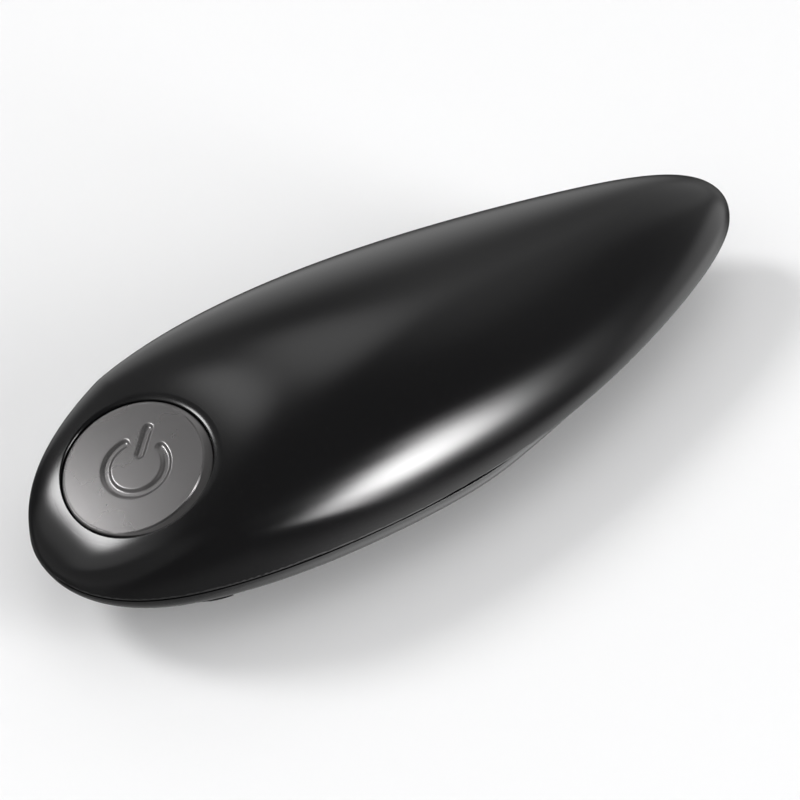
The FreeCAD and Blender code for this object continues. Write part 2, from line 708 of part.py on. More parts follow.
def motor_end_cap():
    body = motor_blank(0).common(box(motor_split, far, -far, far, 0, far))
    tags = []
    for side in (1, -1):
        y = motor_y + side * terminal_y
        tags.append(box(motor_end, motor_end + terminal_length, y - terminal_width / 2,
                        y + terminal_width / 2, motor_z - terminal_thick / 2, motor_z + terminal_thick / 2))
    return joined([body] + tags)


def motor_shaft():
    return rod_x(pinion_x0 - shaft_overhang, motor_split, motor_y, motor_z, motor_shaft_radius)


def motor_pinion():
    solid = gear(0, 0, 0, motor_pinion_face, crown_module, pinion_teeth, addendum_shift, 0)
    solid = solid.cut(rod(0, 0, -1, far, motor_shaft_radius))
    solid.rotate(V(0, 0, 0), V(0, 1, 0), 90)
    solid.translate(V(pinion_x0, motor_y, motor_z))
    return solid


# ---- button group ---------------------------------------------------------
def start_button():
    r, hollow = button_radius, button_radius - button_wall
    profile = [(0, 0), (r - button_edge, 0), (r, -button_edge), (r, -button_skirt), (hollow, -button_skirt),
               (hollow, -button_thick), (button_boss_radius, -button_thick),
               (button_boss_radius, plunger_top), (0, plunger_top)]
    return at_button(turned(0, 0, profile))


def circuit_board():
    board = at_button(rod(0, 0, board_z - board_thick, board_z, well_radius + well_wall))
    holes = [at_button(rod(x, y, -far, far, peg_radius + peg_fit)) for x, y in board_pegs]
    return board.common(upper_inner).cut(Part.makeCompound(holes))


def switch_body():
    half = switch_side / 2
    body = box(-half, half, -half, half, board_z, switch_top)
    return at_button(body.cut(rod(0, 0, board_z + switch_floor, 0, plunger_radius + running)))


def switch_plunger():
    return at_button(rod(0, 0, plunger_top - plunger_length, plunger_top, plunger_radius))


def coil(radius, wire, z0, z1, turns):
    """Compression spring about the Z axis, its wire square and its turns in straight steps."""
    steps = coil_steps * turns
    half = wire / 2
    sections = []
    for i in range(steps + 1):
        a = 2 * math.pi * i / coil_steps
        z = z0 + half + (z1 - z0 - wire) * i / steps
        corners = [V((radius + dr) * math.cos(a), (radius + dr) * math.sin(a), z + dz)
                   for dr, dz in ((-half, -half), (half, -half), (half, half), (-half, half))]
        sections.append(Part.makePolygon(corners + corners[:1]))
    return Part.makeLoft(sections, True, True)


def button_spring():
    low, high = board_z + end_play, -button_thick - end_play
    return at_button(coil(spring_radius, spring_wire, low, high, spring_turns))


# ---- battery group --------------------------------------------------------
def battery_tray():
    x0, x1 = bay_x - tray_wall, bay_end + contact_thick + tray_wall
    room = cell_radius + cell_clearance
    half = cell_pitch / 2 + room
    block = box(x0, x1, -tray_half, tray_half, tray_floor_z, cell_z + room + tray_wall)
    block = joined([block.common(form(wall + tray_fit)).common(above(part_z)),
                    block.common(form(wall + tray_fit, tail_tuck)).common(below(part_z))])
    bay1 = bay_end + contact_thick
    cuts = [rod_x(bay_x, bay1, side * cell_pitch / 2, cell_z, room) for side in (1, -1)]
    cuts += [box(bay_x, bay1, -half, half, 0, cell_z),
             box(bay_x, bay1, -cell_pitch / 2, cell_pitch / 2, 0, cell_z + tray_open * room)]
    block = block.cut(Part.makeCompound(cuts))
    arms = []
    for (x, y), side in zip(tray_posts, (1, -1)):
        root = side * (tray_half - rail_root)
        ya, yb = sorted((root, side * (tray_half + rail_reach)))
        arms.append(box(rail_x0, rail_x1, ya, yb, rail_z, rail_z + rail_thick))
        ya, yb = sorted((root, y + side * tab_end))
        arms.append(box(x - tab_half, x + tab_half, ya, yb, tray_tab_z, tray_tab_z + tab_thick))
    return joined([block] + arms).cut(Part.makeCompound(screw_holes(tray_posts, 0, far)))


def battery_cells():
    cells = []
    for side, start, turn in ((-1, contact_x, 1), (1, contact_x + spring_room + cell_length, -1)):
        can = rod_x(cell_nub, cell_length, 0, 0, cell_radius)
        cell = joined([can, rod_x(0, cell_nub, 0, 0, cell_nub_radius)])
        cell.rotate(V(0, 0, 0), UP, 90 - 90 * turn)
        cell.translate(V(start, side * cell_pitch / 2, cell_z))
        cells.append(cell)
    return group(cells)


def battery_contacts():
    half, middle = contact_half, cell_pitch / 2
    low, high = cell_z - half, cell_z + half
    front = [box(bay_x, contact_x, side * middle - half, side * middle + half, low, high)
             for side in (1, -1)]
    rear = box(bay_end, bay_end + contact_thick, -middle - half, middle + half, low, high)
    return group(front + [rear])


def battery_springs():
    springs = []
    for x, y in ((contact_x, cell_pitch / 2), (contact_x + cell_length, -cell_pitch / 2)):
        spring = coil(cell_spring_radius, cell_spring_wire, end_play, spring_room - end_play,
                      cell_spring_turns)
        spring.rotate(V(0, 0, 0), V(0, 1, 0), 90)
        spring.translate(V(x, y, cell_z))
        springs.append(spring)
    return group(springs)


# ---- fasteners and leads --------------------------------------------------
def housing_screws():
    return group([screw(x, y, housing_seat, housing_screw) for x, y in housing_posts])


def gearbox_screws():
    return group([screw(x, y, cover_top, gearbox_screw, 1) for x, y in gear_posts])


def chassis_screws():
    return group([screw(x, y, plate_top, chassis_screw, 1) for x, y in plate_screw_places])


def tray_screws():
    return group([screw(x, y, tray_tab_z, tray_screw) for x, y in tray_posts])


def lead(points):
    """Insulated wire: straight runs joined by tangent arcs."""
    edges = []
    last = points[0]
    for a, b, c in zip(points, points[1:], points[2:]):
        one, two = b - a, c - b
        reach = lead_bend * min(one.Length, two.Length)
        one.normalize()
        two.normalize()
        begin, end = b - one * reach, b + two * reach
        half = one.getAngle(two) / 2
        bow = two - one
        bow.normalize()
        arc_radius = reach / math.tan(half)
        middle = b + bow * (arc_radius / math.cos(half) - arc_radius)
        edges += [Part.makeLine(last, begin), Part.Arc(begin, middle, end).toShape()]
        last = end
    edges.append(Part.makeLine(last, points[-1]))
    profile = Part.Wire(Part.makeCircle(lead_radius, points[0], points[1] - points[0]))
    return Part.Wire(edges).makePipeShell([profile], True, False)


def switch_leads():
    under = board_z - board_thick - end_play
    wires = []
    for y in lead_places:
        start, low = (button_place.multVec(V(lead_start, y, under - down)) for down in (0.0, lead_drop))
        wires.append(lead([start, low, V(low.x + lead_run, y, lead_z),
                           V(motor_front + lead_rise, y, lead_z), V(contact_x - lead_turn, y, lead_z - lead_dip),
                           V(contact_x - lead_end_gap, y, cell_z + lead_end_rise)]))
    return group(wires)


nodes = {
    "upper_shell": upper_shell, "lower_shell": lower_shell, "battery_cover": battery_cover,
    "chassis_plate": chassis_plate, "gearbox_cover": gearbox_cover, "gear_axles": gear_axles,
    "start_button": start_button, "circuit_board": circuit_board, "switch_body": switch_body,
    "switch_plunger": switch_plunger, "button_spring": button_spring,
    "motor_can": motor_can, "motor_end_cap": motor_end_cap, "motor_shaft": motor_shaft,
    "motor_pinion": motor_pinion, "crown_gear": crown_gear, "idler_gear_1": idler_gear_1,
    "idler_gear_2": idler_gear_2, "output_gear": output_gear, "drive_spindle": drive_spindle,
    "drive_wheel": drive_wheel, "drive_bush": drive_bush, "clutch_pinion": clutch_pinion,
    "clutch_washer": clutch_washer, "carrier_gear": carrier_gear, "cutter_carrier": cutter_carrier,
    "cutter_wheel": cutter_wheel, "cutter_screw": cutter_screw, "magnet": magnet,
    "battery_tray": battery_tray, "battery_cells": battery_cells, "battery_contacts": battery_contacts,
    "battery_springs": battery_springs, "housing_screws": housing_screws,
    "gearbox_screws": gearbox_screws, "chassis_screws": chassis_screws, "tray_screws": tray_screws,
    "switch_leads": switch_leads,
}

if __name__ == "__main__":
    os.makedirs("parts", exist_ok=True)
    for name, make in nodes.items():
        shape = make()
        print(f"{name:18s} solids {len(shape.Solids)} valid {shape.isValid()} volume {shape.Volume:9.1f}")
        shape.exportStep(f"parts/{name}.step")
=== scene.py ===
import json
import math

import bmesh
import bpy
from mathutils import Matrix, Vector


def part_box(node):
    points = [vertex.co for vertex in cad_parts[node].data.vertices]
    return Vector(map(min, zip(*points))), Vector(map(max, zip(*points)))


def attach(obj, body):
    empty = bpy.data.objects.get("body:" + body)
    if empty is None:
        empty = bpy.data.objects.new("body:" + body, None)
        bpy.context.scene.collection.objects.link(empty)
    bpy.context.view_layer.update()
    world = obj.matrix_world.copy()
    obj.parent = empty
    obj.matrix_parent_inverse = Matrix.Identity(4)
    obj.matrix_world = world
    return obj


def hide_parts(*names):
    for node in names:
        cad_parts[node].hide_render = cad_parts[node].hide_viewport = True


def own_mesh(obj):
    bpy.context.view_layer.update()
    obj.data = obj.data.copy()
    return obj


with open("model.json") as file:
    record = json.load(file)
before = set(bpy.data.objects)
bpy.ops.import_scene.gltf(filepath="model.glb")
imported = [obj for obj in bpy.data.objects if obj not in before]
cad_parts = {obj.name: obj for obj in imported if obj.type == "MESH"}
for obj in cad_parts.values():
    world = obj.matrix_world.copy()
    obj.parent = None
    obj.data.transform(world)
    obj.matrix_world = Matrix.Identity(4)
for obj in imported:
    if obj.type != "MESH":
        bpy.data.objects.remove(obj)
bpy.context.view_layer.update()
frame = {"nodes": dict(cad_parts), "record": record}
mm = 0.001
print("frame loaded,", len(frame["nodes"]), "nodes")


def linkMesh(name, bm, material):
    mesh = bpy.data.meshes.new(name)
    bm.to_mesh(mesh)
    bm.free()
    mesh.materials.append(material)
    piece = bpy.data.objects.new(name, mesh)
    bpy.context.scene.collection.objects.link(piece)
    return piece


def makePiece(name, bm, material, body, replaced, smoothAngle):
    piece = linkMesh(name, bm, material)
    piece.data.shade_smooth()
    piece.data.set_sharp_from_angle(angle=math.radians(smoothAngle))
    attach(piece, body)
    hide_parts(replaced)
    return piece


def lathe(profile, steps):
    # the profile holds pairs of radius and height
    bm = bmesh.new()
    points = [bm.verts.new((radius, 0, height)) for radius, height in profile]
    edges = [bm.edges.new(pair) for pair in zip(points, points[1:])]
    bmesh.ops.spin(bm, geom=points + edges, cent=(0, 0, 0), axis=(0, 0, 1), dvec=(0, 0, 0),
                   angle=math.tau, steps=steps, use_merge=True, use_duplicate=False)
    bmesh.ops.remove_doubles(bm, verts=bm.verts, dist=1e-6)
    bmesh.ops.recalc_face_normals(bm, faces=bm.faces)
    return bm


def smoothStep(value, low, high):
    share = min(1.0, max(0.0, (value - low) / (high - low)))
    return share * share * (3 - 2 * share)


def newGroup(name, inputs, outputs):
    group = bpy.data.node_groups.new(name, "ShaderNodeTree")
    for label, kind, value in inputs:
        socket = group.interface.new_socket(label, in_out="INPUT", socket_type="NodeSocket" + kind)
        if value is not None:
            socket.default_value = value
    for label, kind in outputs:
        group.interface.new_socket(label, in_out="OUTPUT", socket_type="NodeSocket" + kind)
    return group, group.nodes.new("NodeGroupInput"), group.nodes.new("NodeGroupOutput")


def addNode(tree, kind, inputs=(), **settings):
    node = tree.nodes.new("ShaderNode" + kind)
    for key, value in settings.items():
        setattr(node, key, value)
    for key, value in dict(inputs).items():
        if isinstance(value, bpy.types.NodeSocket):
            tree.links.new(value, node.inputs[key])
        else:
            node.inputs[key].default_value = value
    return node


def doMath(tree, operation, first, second=None, clamp=False):
    inputs = {0: first} if second is None else {0: first, 1: second}
    return addNode(tree, "Math", inputs, operation=operation, use_clamp=clamp).outputs[0]


def remap(tree, value, given, wanted=(0.0, 1.0)):
    inputs = {"Value": value, "From Min": given[0], "From Max": given[1],
              "To Min": wanted[0], "To Max": wanted[1]}
    return addNode(tree, "MapRange", inputs).outputs["Result"]


def mixColour(tree, factor, first, second):
    # sockets 6, 7 and 2 are the node's colours
    return addNode(tree, "Mix", {0: factor, 6: first, 7: second}, data_type="RGBA").outputs[2]


# shares and noise ranges of the marks; the looks below give their sizes
grainMarks = {"grit": 0.4, "finer": 2.3, "detail": 3.0}
edgeMarks = {"samples": 6, "facing": (0.995, 0.8), "detail": 4.0, "noise": (0.35, 0.7), "kept": (0.1, 1.0)}
handlingMarks = {"slowDetail": 4.0, "distortion": 0.2, "smudge": (0.35, 0.68),
                 "finer": 60.0, "fineDetail": 6.0, "speck": (0.62, 0.78), "upward": (0.2, 1.0)}
turningMarks = {"squash": 0.6, "detail": 3.0, "rings": (0.3, 0.7), "shade": (0.85, 1.1)}


def grainGroup():
    # spark-eroded mould texture: soft pits over finer grit
    group, start, end = newGroup("mouldGrain", [("Vector", "Vector", None), ("Scale", "Float", 4000.0)],
                                 [("Height", "Float")])
    vector, scale = start.outputs["Vector"], start.outputs["Scale"]
    pits = addNode(group, "TexVoronoi", {"Vector": vector, "Scale": scale}, feature="SMOOTH_F1")
    finer = doMath(group, "MULTIPLY", scale, grainMarks["finer"])
    grit = addNode(group, "TexNoise", {"Vector": vector, "Scale": finer, "Detail": grainMarks["detail"]})
    height = doMath(group, "MULTIPLY_ADD", grit.outputs["Fac"], grainMarks["grit"])
    group.links.new(pits.outputs["Distance"], height.node.inputs[2])
    group.links.new(height, end.inputs["Height"])
    return group


def edgeGroup():
    # mask of worn outside edges, broken up by noise
    group, start, end = newGroup("edgeWear", [("Vector", "Vector", None), ("Radius", "Float", 0.4 * mm),
                                              ("Breakup", "Float", 900.0)],
                                 [("Mask", "Float"), ("Normal", "Vector")])
    vector, scale = start.outputs["Vector"], start.outputs["Breakup"]
    rounded = addNode(group, "Bevel", {"Radius": start.outputs["Radius"]}, samples=edgeMarks["samples"])
    geometry = addNode(group, "NewGeometry")
    facing = addNode(group, "VectorMath", {0: rounded.outputs["Normal"], 1: geometry.outputs["Normal"]},
                     operation="DOT_PRODUCT").outputs["Value"]
    noise = addNode(group, "TexNoise", {"Vector": vector, "Scale": scale, "Detail": edgeMarks["detail"]})
    turned = remap(group, facing, edgeMarks["facing"])
    kept = remap(group, noise.outputs["Fac"], edgeMarks["noise"], edgeMarks["kept"])
    group.links.new(doMath(group, "MULTIPLY", turned, kept, True), end.inputs["Mask"])
    group.links.new(rounded.outputs["Normal"], end.inputs["Normal"])
    return group


def smudgeGroup():
    # slow handling marks, and a thin veil of dust on faces that look up
    group, start, end = newGroup("handling", [("Vector", "Vector", None), ("Scale", "Float", 35.0)],
                                 [("Smudge", "Float"), ("Dust", "Float")])
    vector, scale = start.outputs["Vector"], start.outputs["Scale"]
    slow = addNode(group, "TexNoise", {
        "Vector": vector, "Scale": scale, "Detail": handlingMarks["slowDetail"],
        "Distortion": handlingMarks["distortion"],
    }).outputs["Fac"]
    fine = addNode(group, "TexNoise", {
        "Vector": vector, "Scale": doMath(group, "MULTIPLY", scale, handlingMarks["finer"]),
        "Detail": handlingMarks["fineDetail"],
    }).outputs["Fac"]
    normal = addNode(group, "SeparateXYZ", {0: addNode(group, "NewGeometry").outputs["Normal"]})
    upward = remap(group, normal.outputs["Z"], handlingMarks["upward"])
    speck = remap(group, fine, handlingMarks["speck"])
    group.links.new(remap(group, slow, handlingMarks["smudge"]), end.inputs["Smudge"])
    group.links.new(doMath(group, "MULTIPLY", upward, speck), end.inputs["Dust"])
    return group


def turningGroup():
    # rings left by a lathe or a grinding wheel about the mapped Z axis
    group, start, end = newGroup("turningMarks", [("Vector", "Vector", None), ("Scale", "Float", 3000.0)],
                                 [("Height", "Float"), ("Shade", "Float")])
    axes = addNode(group, "SeparateXYZ", {0: start.outputs["Vector"]})
    flat = addNode(group, "CombineXYZ", {"X": axes.outputs["X"], "Y": axes.outputs["Y"]})
    radius = addNode(group, "VectorMath", {0: flat.outputs[0]}, operation="LENGTH").outputs["Value"]
    height = doMath(group, "MULTIPLY", axes.outputs["Z"], turningMarks["squash"])
    along = addNode(group, "CombineXYZ", {"X": radius, "Z": height})
    rings = addNode(group, "TexNoise", {
        "Vector": along.outputs[0], "Scale": start.outputs["Scale"], "Detail": turningMarks["detail"],
    }).outputs["Fac"]
    shade = remap(group, rings, turningMarks["rings"], turningMarks["shade"])
    group.links.new(rings, end.inputs["Height"])
    group.links.new(shade, end.inputs["Shade"])
    return group


groups = {
    "grain": grainGroup(), "edge": edgeGroup(),
    "handling": smudgeGroup(), "turning": turningGroup(),
}


def placeGroup(tree, key, vector, **values):
    node = addNode(tree, "Group", node_tree=groups[key])
    tree.links.new(vector, node.inputs["Vector"])
    for label, value in values.items():
        node.inputs[label].default_value = value
    return node.outputs


def startMaterial(name, centre=(0, 0, 0), turn=(0, 0, 0)):
    material = bpy.data.materials.new(name)
    material.use_nodes = True
    tree = material.node_tree
    tree.nodes.clear()
    shader = addNode(tree, "BsdfPrincipled")
    surface = addNode(tree, "OutputMaterial")
    tree.links.new(shader.outputs[0], surface.inputs["Surface"])
    coordinates = addNode(tree, "TexCoord").outputs["Object"]
    shift = addNode(tree, "VectorMath", {0: coordinates, 1: centre}, operation="SUBTRACT").outputs[0]
    place = addNode(tree, "Mapping", {"Vector": shift, "Rotation": turn}).outputs[0]
    return material, tree, shader, place


def bumpFrom(tree, shader, rounded, height, distance, strength):
    bump = addNode(tree, "Bump", {"Height": height, "Distance": distance, "Strength": strength,
                                  "Normal": rounded})
    tree.links.new(bump.outputs["Normal"], shader.inputs["Normal"])


dustColour = (0.35, 0.34, 0.33, 1)
plasticIndex = 1.49   # of refraction
edgePolish = -0.08    # change of roughness on a rubbed edge
edgeBright = 0.5      # share of a metal edge's own colour
plasticBump = 0.5
metalBump = 0.4


def plasticFinish(name, look):
    # moulded plastic or paint over it: grain, handling marks, dust and rubbed edges
    material, tree, shader, place = startMaterial(name)
    handling = placeGroup(tree, "handling", place, Scale=look["smudgeScale"])
    rim = placeGroup(tree, "edge", place, Radius=look["edgeRadius"])
    edge = rim["Mask"]
    grain = placeGroup(tree, "grain", place, Scale=look["grainScale"])["Height"]
    base = mixColour(tree, doMath(tree, "MULTIPLY", handling["Smudge"], look["smudge"]),
                     look["colour"], look["smudgeColour"])
    worn = mixColour(tree, doMath(tree, "MULTIPLY", edge, look["wear"]), base, look["edgeColour"])
    dusty = mixColour(tree, doMath(tree, "MULTIPLY", handling["Dust"], look["dust"]), worn, dustColour)
    tree.links.new(dusty, shader.inputs["Base Color"])
    rough = remap(tree, handling["Smudge"], (0.0, 1.0), look["roughness"])
    rubbed = doMath(tree, "MULTIPLY_ADD", edge, edgePolish)
    tree.links.new(rough, rubbed.node.inputs[2])
    tree.links.new(rubbed, shader.inputs["Roughness"])
    shader.inputs["Metallic"].default_value = look.get("metallic", 0.0)
    shader.inputs["IOR"].default_value = plasticIndex
    bumpFrom(tree, shader, rim["Normal"], grain, look["grainDepth"], plasticBump)
    return material


def metalFinish(name, look, centre=(0, 0, 0), turn=(0, 0, 0)):
    # machined, plated or sintered metal: turning rings, a fine tooth and brighter edges
    material, tree, shader, place = startMaterial(name, centre, turn)
    turning = placeGroup(tree, "turning", place, Scale=look["ringScale"])
    grain = placeGroup(tree, "grain", place, Scale=look["grainScale"])["Height"]
    handling = placeGroup(tree, "handling", place, Scale=look["smudgeScale"])
    rim = placeGroup(tree, "edge", place, Radius=look["edgeRadius"])
    edge = rim["Mask"]
    shaded = addNode(tree, "Mix", {0: 1.0, 6: look["colour"], 7: turning["Shade"]}, data_type="RGBA",
                     blend_type="MULTIPLY")
    stained = mixColour(tree, doMath(tree, "MULTIPLY", handling["Smudge"], look["stain"]),
                        shaded.outputs[2], look["stainColour"])
    bright = mixColour(tree, doMath(tree, "MULTIPLY", edge, edgeBright), stained, look["edgeColour"])
    tree.links.new(bright, shader.inputs["Base Color"])
    rough = remap(tree, handling["Smudge"], (0.0, 1.0), look["roughness"])
    tree.links.new(rough, shader.inputs["Roughness"])
    shader.inputs["Metallic"].default_value = 1.0
    tooth = doMath(tree, "MULTIPLY_ADD", grain, look["tooth"])
    tree.links.new(turning["Height"], tooth.node.inputs[2])
    bumpFrom(tree, shader, rim["Normal"], tooth, look["depth"], metalBump)
    return material


housingLook = {
    "colour": (0.0038, 0.0037, 0.0040, 1), "smudgeColour": (0.0046, 0.0045, 0.0048, 1),
    "edgeColour": (0.02, 0.02, 0.021, 1), "roughness": (0.165, 0.18), "smudgeScale": 22.0, "smudge": 0.6,
    "grainScale": 5200.0, "grainDepth": 0.008 * mm, "edgeRadius": 0.15 * mm, "wear": 0.45, "dust": 0.02,
}
buttonLook = {
    "colour": (0.175, 0.17, 0.17, 1), "smudgeColour": (0.162, 0.158, 0.159, 1),
    "edgeColour": (0.30, 0.295, 0.29, 1), "roughness": (0.27, 0.30), "smudgeScale": 45.0, "smudge": 0.5,
    "grainScale": 7000.0, "grainDepth": 0.004 * mm, "edgeRadius": 0.08 * mm, "wear": 0.3, "dust": 0.03,
    "metallic": 0.75,
}
innerLook = dict(housingLook, colour=(0.03, 0.03, 0.032, 1), smudgeColour=(0.04, 0.04, 0.042, 1),
                 edgeColour=(0.07, 0.07, 0.072, 1), roughness=(0.42, 0.5), grainScale=2600.0,
                 grainDepth=0.03 * mm)
nylonLook = dict(housingLook, colour=(0.75, 0.73, 0.66, 1), smudgeColour=(0.62, 0.58, 0.48, 1),
                 edgeColour=(0.83, 0.82, 0.77, 1), roughness=(0.35, 0.45), grainScale=2200.0,
                 grainDepth=0.02 * mm, smudge=0.5, dust=0.0)
boardLook = dict(housingLook, colour=(0.02, 0.12, 0.05, 1), smudgeColour=(0.03, 0.17, 0.07, 1),
                 edgeColour=(0.30, 0.27, 0.14, 1), roughness=(0.25, 0.35), grainScale=900.0,
                 grainDepth=0.03 * mm, smudgeScale=300.0, smudge=0.9, wear=0.8)
leadLook = dict(housingLook, colour=(0.33, 0.02, 0.02, 1), smudgeColour=(0.25, 0.015, 0.015, 1),
                edgeColour=(0.4, 0.04, 0.04, 1), roughness=(0.3, 0.4), grainScale=1500.0)
cellLook = dict(housingLook, colour=(0.045, 0.05, 0.06, 1), smudgeColour=(0.06, 0.065, 0.075, 1),
                edgeColour=(0.5, 0.5, 0.5, 1), roughness=(0.2, 0.28), metallic=0.4, grainScale=1200.0,
                grainDepth=0.01 * mm)
steelLook = {
    "colour": (0.56, 0.565, 0.58, 1), "stainColour": (0.42, 0.42, 0.41, 1),
    "edgeColour": (0.8, 0.8, 0.8, 1), "roughness": (0.26, 0.38), "ringScale": 2600.0,
    "grainScale": 3000.0, "tooth": 0.3, "depth": 0.02 * mm, "smudgeScale": 90.0, "stain": 0.25,
    "edgeRadius": 0.15 * mm,
}
metalLooks = {
    "steel": steelLook,
    "steel_gear": dict(steelLook, colour=(0.34, 0.34, 0.35, 1), stainColour=(0.22, 0.21, 0.2, 1),
                       roughness=(0.4, 0.55), ringScale=1200.0, tooth=1.0, depth=0.04 * mm),
    "tool_steel": dict(steelLook, colour=(0.62, 0.62, 0.62, 1), roughness=(0.16, 0.26), ringScale=5200.0,
                       depth=0.014 * mm),
    "spring_steel": dict(steelLook, colour=(0.66, 0.66, 0.65, 1), roughness=(0.18, 0.25)),
    "screw_steel": dict(steelLook, colour=(0.5, 0.5, 0.5, 1), roughness=(0.24, 0.34), ringScale=3500.0),
    "motor_steel": dict(steelLook, colour=(0.6, 0.6, 0.6, 1), ringScale=900.0),
    "magnet": dict(steelLook, colour=(0.62, 0.61, 0.58, 1), roughness=(0.14, 0.24), ringScale=1800.0,
                   depth=0.01 * mm),
    "brass": dict(steelLook, colour=(0.68, 0.47, 0.18, 1), stainColour=(0.45, 0.29, 0.1, 1),
                  edgeColour=(0.85, 0.66, 0.34, 1), roughness=(0.22, 0.32)),
    "contact": dict(steelLook, colour=(0.66, 0.63, 0.55, 1), roughness=(0.18, 0.26)),
}
plasticLooks = {"housing": housingLook, "button": buttonLook, "inner_plastic": innerLook,
                "nylon": nylonLook, "board": boardLook, "lead": leadLook, "cell": cellLook}

materials = {slot: plasticFinish(slot + "Finish", look) for slot, look in plasticLooks.items()}


def nodeCentre(node):
    low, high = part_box(node)
    return (low + high) / 2


alongX = (0, math.pi / 2, 0)
turnedAbout = {
    "motor_can": alongX, "motor_end_cap": alongX,
    "motor_shaft": alongX, "motor_pinion": alongX,
}


def dressNodes():
    for part in frame["record"]["subparts"]:
        node, slot = part["node"], part["material_slot"]
        mesh = frame["nodes"][node].data
        if slot in metalLooks:
            turn = turnedAbout.get(node, (0, 0, 0))
            finish = metalFinish(node + "Finish", metalLooks[slot], nodeCentre(node), turn)
        else:
            finish = materials[slot]
        mesh.materials.clear()
        mesh.materials.append(finish)


dressNodes()
print("node finishes placed")

pod = {
    "length": 202 * mm,
    "partZ": 19.5 * mm,
    "halfWidth": (48.4, 39.5, 37.4, 33.0, 28.1),   # fullness in mm, nose to tail
    "rise": (24.8, 26.9, 23.1, 20.3, 27.8),
    "drop": (20.4, 16.6, 14.7),
    "crown": (1.32, 0.614, 0.577),                 # squareness of the upper section
    "crownLimit": 1.0,
    "keel": 0.612,                                 # squareness of the lower section
    "wall": 2.2 * mm,
    "segments": 320,
    "rings": 208,
    "seamRows": (0.014, 0.0),                      # rows of one height at the seam, on a unit form
    "seamSnap": 0.004,
    "halvings": 30,                                # steps that find a place on the form
    "tries": 4,
}
startButton = {
    "x": -75.1 * mm, "z": 36.3 * mm, "tilt": 17.8, "radius": 17.8 * mm, "gap": 0.35 * mm,
    "lipNose": 0.1 * mm, "lipSide": 0.8 * mm, "lipTail": 0.3 * mm, "lipSteps": 6,   # the mouth's rounding
    "bevelWidth": 0.55 * mm, "bevelSlope": 14.0, "bevelFade": 0.7, "hold": 0.07 * mm,
    "wellDepth": 9 * mm, "wellRows": (0.35, 1.0),
}


def through(values, share):
    # polynomial through evenly spaced values
    last = len(values) - 1
    total = 0.0
    for i, value in enumerate(values):
        for j in range(last + 1):
            if j != i:
                value *= (share - j / last) / (i / last - j / last)
        total += value
    return total


def podPoint(direction):
    # point of the form for a unit direction, whose X runs nose to tail
    share = (1 + direction.x) / 2
    ring = math.hypot(direction.y, direction.z)
    t = math.atan2(abs(direction.z), abs(direction.y)) / (math.pi / 2)
    upper = direction.z >= 0
    width = through(pod["halfWidth"], share) * mm * ring
    height = through(pod["rise"] if upper else pod["drop"], share) * mm * ring
    square = min(through(pod["crown"], share), pod["crownLimit"]) if upper else pod["keel"]
    s = 1 - t
    across = s**3 + 3 * s * s * t + 3 * s * t * t * square
    away = 3 * s * s * t * square + 3 * s * t * t + t**3
    return Vector((direction.x * pod["length"] / 2, math.copysign(width * across, direction.y),
                   pod["partZ"] + math.copysign(height * away, direction.z)))


tilt = math.radians(startButton["tilt"])
buttonPlace = Matrix.Translation((startButton["x"], 0, startButton["z"])) @ Matrix.Rotation(-tilt, 4, "Y")
buttonInverse = buttonPlace.inverted()
wellRadius = startButton["radius"] + startButton["gap"]
poleX = 2 * startButton["x"] / pod["length"]
pole = Vector((poleX, 0, math.sqrt(1 - poleX * poleX)))   # of the form's rings, over the button
aside = Vector((0, 1, 0))
ahead = aside.cross(pole)


def reachOf(place):
    return math.hypot(place.x, place.y)


def turnOf(place):
    return math.atan2(place.y, place.x)


def polarOf(place):
    return math.acos(max(-1, min(1, place.z)))


def formDirection(polar, turn):
    out = math.cos(turn) * ahead + math.sin(turn) * aside
    return math.cos(polar) * pole + math.sin(polar) * out


def overButton(polar, turn):
    # a point of the form in the button's own frame
    return buttonInverse @ podPoint(formDirection(polar, turn))


def polarAt(radiusAt, turn):
    # polar angle at which the form reaches a ring round the button
    low, high = 0.0, math.pi / 2
    for _ in range(pod["halvings"]):
        middle = (low + high) / 2
        local = overButton(middle, turn)
        if reachOf(local) < radiusAt(turnOf(local)):
            low = middle
        else:
            high = middle
    return low


def formLevel(radius, turn):
    # height of the form over a place of the button's plane
    guess = turn
    for _ in range(pod["tries"]):
        local = overButton(polarAt(lambda own: radius, guess), guess)
        guess += math.remainder(turn - turnOf(local), math.tau)
    return local.z


def lipRound(turn):
    # radius of the mouth's edge: crisp at the nose, soft at the sides
    end = startButton["lipTail"] if math.cos(turn) > 0 else startButton["lipNose"]
    return end + (startButton["lipSide"] - end) * math.sin(turn)**2


def mouthRadius(turn):
    return wellRadius + lipRound(turn)


def bevelShare(turn):
    return smoothStep(math.cos(turn), 0.0, startButton["bevelFade"])


def brimRadius(turn):
    return mouthRadius(turn) + startButton["hold"] + startButton["bevelWidth"] * bevelShare(turn)


def ringsFromBrim(bm):
    # a sphere without its cap, whose rings start at the mouth's brim and close at the far end
    segments, rings = pod["segments"], pod["rings"]
    firstRing = round(rings * polarAt(brimRadius, 0) / math.pi)
    firstPolar = math.pi * firstRing / rings
    bmesh.ops.create_uvsphere(bm, u_segments=segments, v_segments=rings, radius=1)
    cap = [v for v in bm.verts if polarOf(v.co) < firstPolar - 0.5 * math.pi / rings]
    bmesh.ops.delete(bm, geom=cap, context="VERTS")
    brim = {}
    for v in bm.verts:
        polar, turn = polarOf(v.co), turnOf(v.co)
        step = round(turn * segments / math.tau)
        if step not in brim:
            brim[step] = polarAt(brimRadius, step * math.tau / segments)
        along = (polar - firstPolar) / (math.pi - firstPolar)
        v.co = formDirection(brim[step] + (math.pi - brim[step]) * along, turn)


